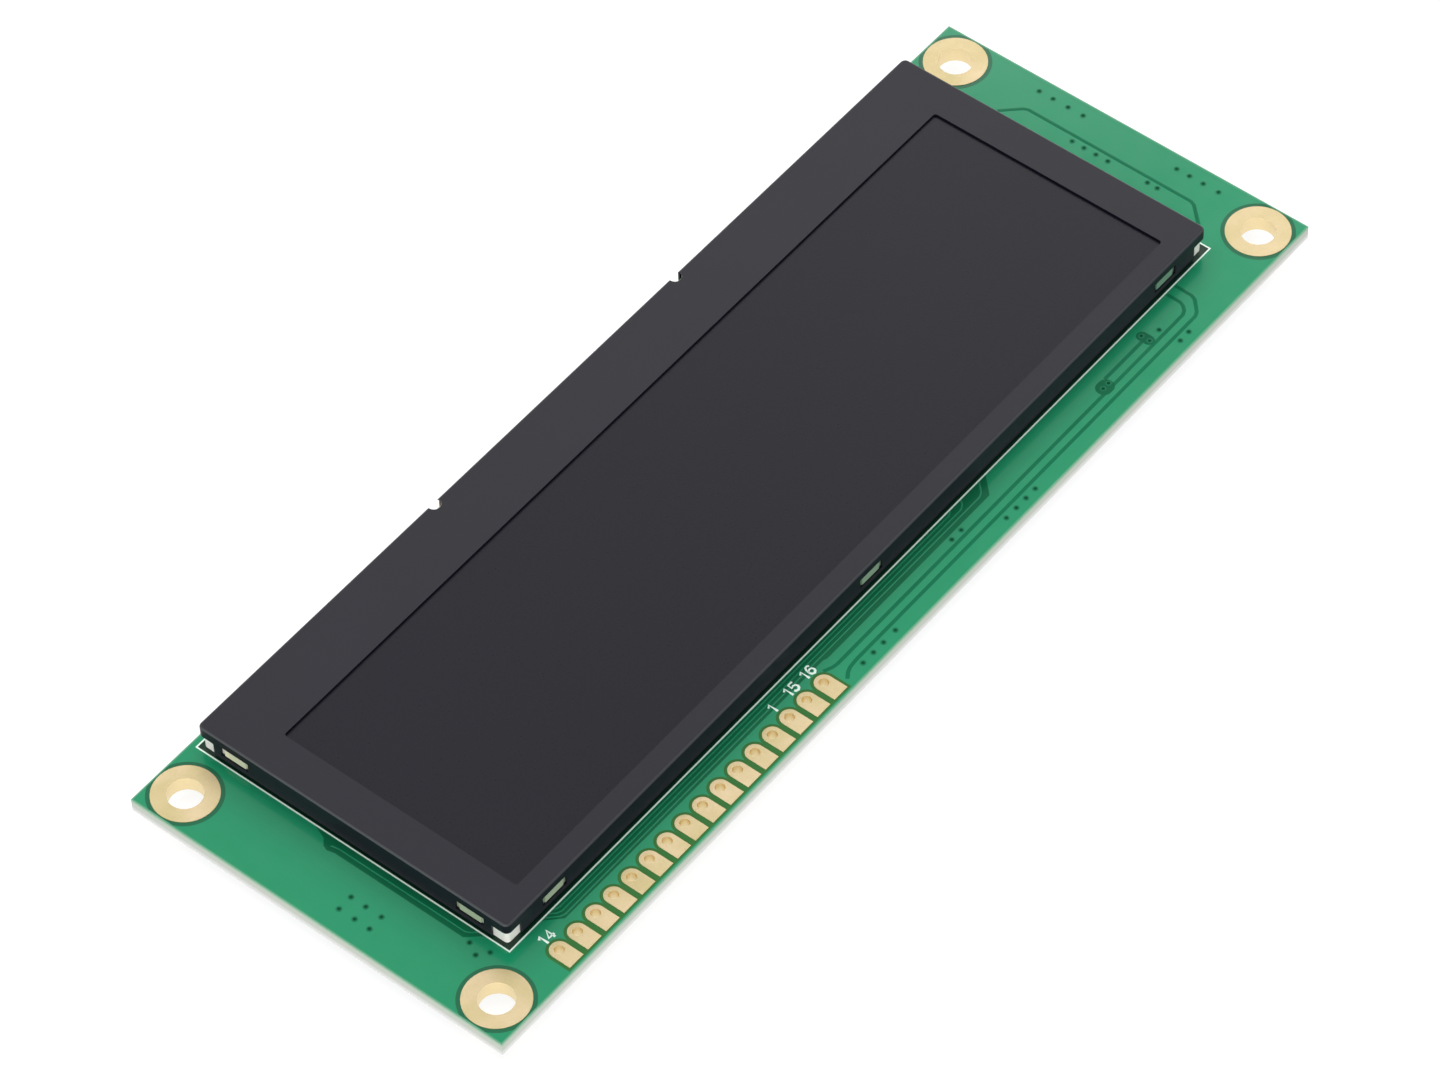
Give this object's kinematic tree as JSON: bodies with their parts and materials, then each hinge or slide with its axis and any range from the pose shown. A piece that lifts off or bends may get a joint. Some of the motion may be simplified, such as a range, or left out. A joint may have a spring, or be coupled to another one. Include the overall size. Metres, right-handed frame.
{
  "type": "tft lcd module",
  "caption": "Bar-shaped TFT display in a black folded steel bezel, fixed on a green circuit board with plated mounting holes and a row of edge solder pads.",
  "frame": {"origin": "centre of the rectangle of mounting holes, on the rear face of the circuit board", "axes": "+X along the board's long edge, away from the solder pads' end; +Y from the pad edge to the edge where the flexible circuit leaves; +Z out of the screen"},
  "size_m": [0.122, 0.044, 0.0062],
  "materials": {
    "solder_mask": "glossy green mask",
    "gold_plating": "satin gold plating",
    "black_paint": "satin black",
    "polariser": "semi-gloss black",
    "panel_glass": "clear",
    "silicon": "polished",
    "black_tape": "matte",
    "prism_film": "finely ribbed",
    "white_film": "matte white",
    "acrylic": "clear polished",
    "white_plastic": "moulded, cream white",
    "led_resin": "yellow resin",
    "amber_film": "amber film",
    "clear_tape": "matte",
    "solder": "satin solder",
    "black_epoxy": "fine matte",
    "tinned_metal": "matte tin",
    "ferrite": "matte",
    "plated_case": "plated lid on ceramic",
    "tan_ceramic": "fired",
    "black_glaze": "glazed"
  },
  "bodies": {
    "root": {"circuit_board": "solder_mask", "hole_rings": "gold_plating", "edge_pads": "gold_plating", "front_bezel": "black_paint", "front_polariser": "polariser", "colour_filter_glass": "panel_glass", "array_glass": "panel_glass", "rear_polariser": "polariser", "driver_chip": "silicon", "rim_tape": "black_tape", "upper_prism_film": "prism_film", "lower_prism_film": "prism_film", "diffuser_film": "white_film", "light_guide": "acrylic", "reflector_film": "white_film", "backlight_frame": "white_plastic", "backlight_leds": "led_resin", "led_strip": "amber_film", "display_flex": "amber_film", "mounting_tape": "clear_tape", "flex_joints": "solder", "controller_chip": "black_epoxy", "controller_leads": "tinned_metal", "memory_chip": "black_epoxy", "memory_leads": "tinned_metal", "regulators": "black_epoxy", "regulator_leads": "tinned_metal", "power_inductor": "ferrite", "inductor_feet": "tinned_metal", "rectifier": "black_epoxy", "rectifier_leads": "tinned_metal", "clock_crystal": "plated_case", "capacitor_bodies": "tan_ceramic", "capacitor_ends": "tinned_metal", "resistor_bodies": "black_glaze", "resistor_ends": "tinned_metal"}
  },
  "joints": []
}
